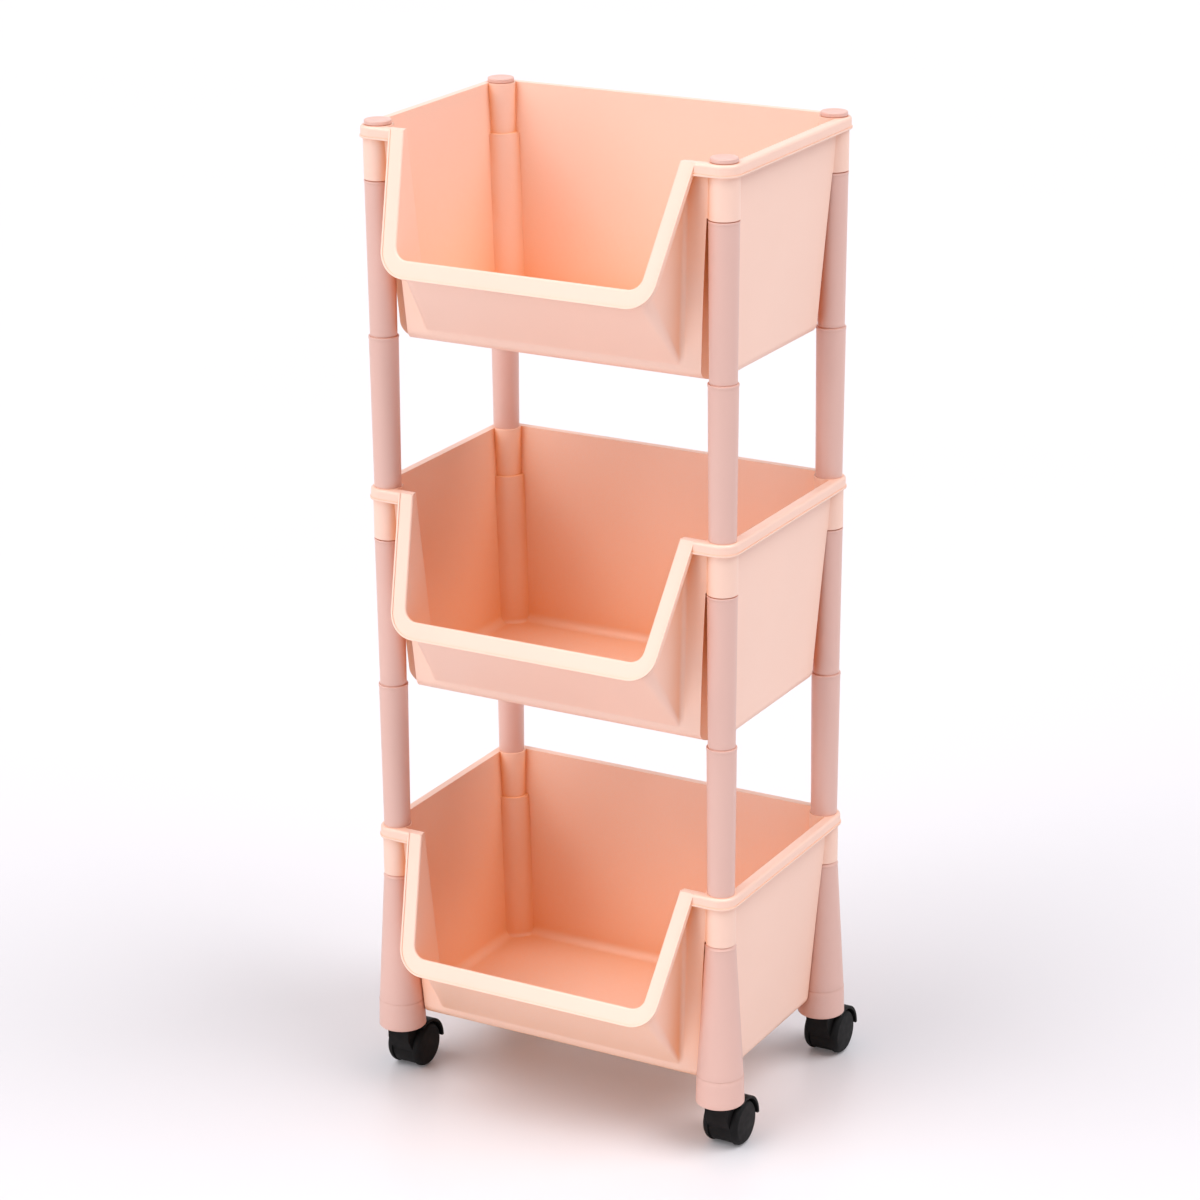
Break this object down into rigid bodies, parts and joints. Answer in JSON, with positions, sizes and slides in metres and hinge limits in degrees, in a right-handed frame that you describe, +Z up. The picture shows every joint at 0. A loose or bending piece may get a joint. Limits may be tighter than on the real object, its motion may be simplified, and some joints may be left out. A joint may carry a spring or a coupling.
{
  "type": "rolling storage cart",
  "caption": "Tiered rolling storage cart: scoop-fronted plastic bins on plug-together corner tubes, with flared legs and swivelling castors.",
  "frame": {"origin": "on the floor, under the middle of the cart's outline seen from above with the castors trailing backwards", "axes": "+Z up, the open fronts face -Y, +X towards the right seen from the front"},
  "size_m": [0.3586, 0.3, 0.86],
  "materials": {
    "bin_plastic": "satin pale pink polypropylene",
    "pole_plastic": "satin pale pink polypropylene",
    "castor_plastic": "satin black nylon",
    "castor_steel": "zinc-plated steel"
  },
  "bodies": {
    "frame": {"bin_top": "bin_plastic", "bin_middle": "bin_plastic", "bin_bottom": "bin_plastic", "cap_front_left": "pole_plastic", "tube_front_left_1": "pole_plastic", "tube_front_left_2": "pole_plastic", "tube_front_left_3": "pole_plastic", "tube_front_left_4": "pole_plastic", "leg_front_left": "pole_plastic", "castor_stem_front_left": "castor_steel", "cap_front_right": "pole_plastic", "tube_front_right_1": "pole_plastic", "tube_front_right_2": "pole_plastic", "tube_front_right_3": "pole_plastic", "tube_front_right_4": "pole_plastic", "leg_front_right": "pole_plastic", "castor_stem_front_right": "castor_steel", "cap_back_left": "pole_plastic", "tube_back_left_1": "pole_plastic", "tube_back_left_2": "pole_plastic", "tube_back_left_3": "pole_plastic", "tube_back_left_4": "pole_plastic", "leg_back_left": "pole_plastic", "castor_stem_back_left": "castor_steel", "cap_back_right": "pole_plastic", "tube_back_right_1": "pole_plastic", "tube_back_right_2": "pole_plastic", "tube_back_right_3": "pole_plastic", "tube_back_right_4": "pole_plastic", "leg_back_right": "pole_plastic", "castor_stem_back_right": "castor_steel"},
    "castor_front_left": {"castor_body_front_left": "castor_plastic", "castor_axle_front_left": "castor_steel"},
    "left_wheel_front_left": {"wheel_left_front_left": "castor_plastic"},
    "right_wheel_front_left": {"wheel_right_front_left": "castor_plastic"},
    "castor_front_right": {"castor_body_front_right": "castor_plastic", "castor_axle_front_right": "castor_steel"},
    "left_wheel_front_right": {"wheel_left_front_right": "castor_plastic"},
    "right_wheel_front_right": {"wheel_right_front_right": "castor_plastic"},
    "castor_back_left": {"castor_body_back_left": "castor_plastic", "castor_axle_back_left": "castor_steel"},
    "left_wheel_back_left": {"wheel_left_back_left": "castor_plastic"},
    "right_wheel_back_left": {"wheel_right_back_left": "castor_plastic"},
    "castor_back_right": {"castor_body_back_right": "castor_plastic", "castor_axle_back_right": "castor_steel"},
    "left_wheel_back_right": {"wheel_left_back_right": "castor_plastic"},
    "right_wheel_back_right": {"wheel_right_back_right": "castor_plastic"}
  },
  "joints": [
    {"name": "swivel_front_left", "type": "hinge", "parent": "frame", "child": "castor_front_left", "pos_m": [-0.1585, -0.08947, 0.0456], "axis": [0, 0, 1], "continuous": true},
    {"name": "spin_left_front_left", "type": "hinge", "parent": "castor_front_left", "child": "left_wheel_front_left", "pos_m": [-0.1585, -0.07197, 0.02], "axis": [1, 0, 0], "continuous": true},
    {"name": "spin_right_front_left", "type": "hinge", "parent": "castor_front_left", "child": "right_wheel_front_left", "pos_m": [-0.1585, -0.07197, 0.02], "axis": [1, 0, 0], "continuous": true},
    {"name": "swivel_front_right", "type": "hinge", "parent": "frame", "child": "castor_front_right", "pos_m": [0.1585, -0.08947, 0.0456], "axis": [0, 0, 1], "continuous": true},
    {"name": "spin_left_front_right", "type": "hinge", "parent": "castor_front_right", "child": "left_wheel_front_right", "pos_m": [0.1585, -0.07197, 0.02], "axis": [1, 0, 0], "continuous": true},
    {"name": "spin_right_front_right", "type": "hinge", "parent": "castor_front_right", "child": "right_wheel_front_right", "pos_m": [0.1585, -0.07197, 0.02], "axis": [1, 0, 0], "continuous": true},
    {"name": "swivel_back_left", "type": "hinge", "parent": "frame", "child": "castor_back_left", "pos_m": [-0.1585, 0.10853, 0.0456], "axis": [0, 0, 1], "continuous": true},
    {"name": "spin_left_back_left", "type": "hinge", "parent": "castor_back_left", "child": "left_wheel_back_left", "pos_m": [-0.1585, 0.12603, 0.02], "axis": [1, 0, 0], "continuous": true},
    {"name": "spin_right_back_left", "type": "hinge", "parent": "castor_back_left", "child": "right_wheel_back_left", "pos_m": [-0.1585, 0.12603, 0.02], "axis": [1, 0, 0], "continuous": true},
    {"name": "swivel_back_right", "type": "hinge", "parent": "frame", "child": "castor_back_right", "pos_m": [0.1585, 0.10853, 0.0456], "axis": [0, 0, 1], "continuous": true},
    {"name": "spin_left_back_right", "type": "hinge", "parent": "castor_back_right", "child": "left_wheel_back_right", "pos_m": [0.1585, 0.12603, 0.02], "axis": [1, 0, 0], "continuous": true},
    {"name": "spin_right_back_right", "type": "hinge", "parent": "castor_back_right", "child": "right_wheel_back_right", "pos_m": [0.1585, 0.12603, 0.02], "axis": [1, 0, 0], "continuous": true}
  ]
}
